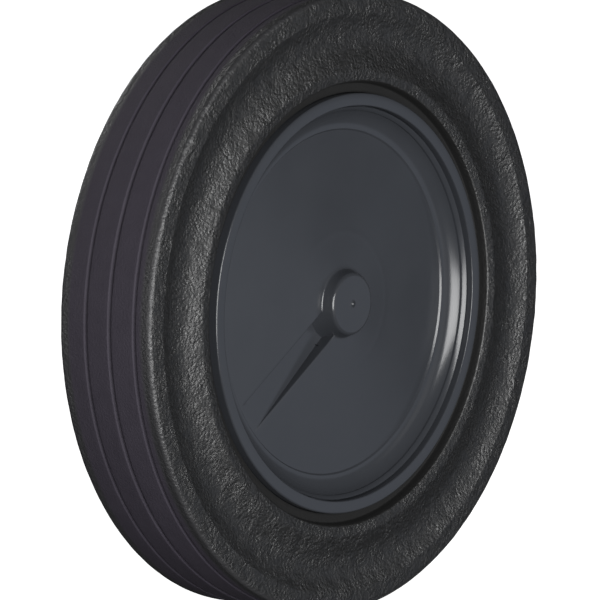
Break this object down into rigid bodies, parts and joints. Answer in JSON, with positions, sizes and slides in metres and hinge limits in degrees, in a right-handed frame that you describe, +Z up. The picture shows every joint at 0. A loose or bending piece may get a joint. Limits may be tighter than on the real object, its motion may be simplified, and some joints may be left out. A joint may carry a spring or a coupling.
{
  "type": "wheelie bin wheel",
  "caption": "Push-on bin wheel: solid rubber tyre on a moulded hub with a blind axle bore and a sprung latch pin.",
  "frame": {"origin": "on the spin axis, in the plane halfway through the tyre, inside the axle bore", "axes": "+Y along the spin axis out of the bore's mouth, the front face looks to -Y, +Z up"},
  "size_m": [0.2, 0.0455, 0.2],
  "materials": {
    "hub_plastic": "moulded polypropylene, satin",
    "tyre_rubber": "moulded solid rubber, coarse grain",
    "latch_plastic": "natural acetal, smooth",
    "spring_steel": "drawn spring wire"
  },
  "bodies": {
    "wheel": {"hub": "hub_plastic", "tyre": "tyre_rubber", "latch_plug": "latch_plastic", "latch_spring": "spring_steel"},
    "latch": {"latch_pin": "latch_plastic"}
  },
  "joints": [
    {"name": "latch_slide", "type": "slide", "parent": "wheel", "child": "latch", "axis": [-0.7955, 0, -0.606], "range_m": [0, 0.003], "stiffness_N_per_m": 400, "springref_m": -0.004, "deforming": ["latch_spring"]}
  ]
}
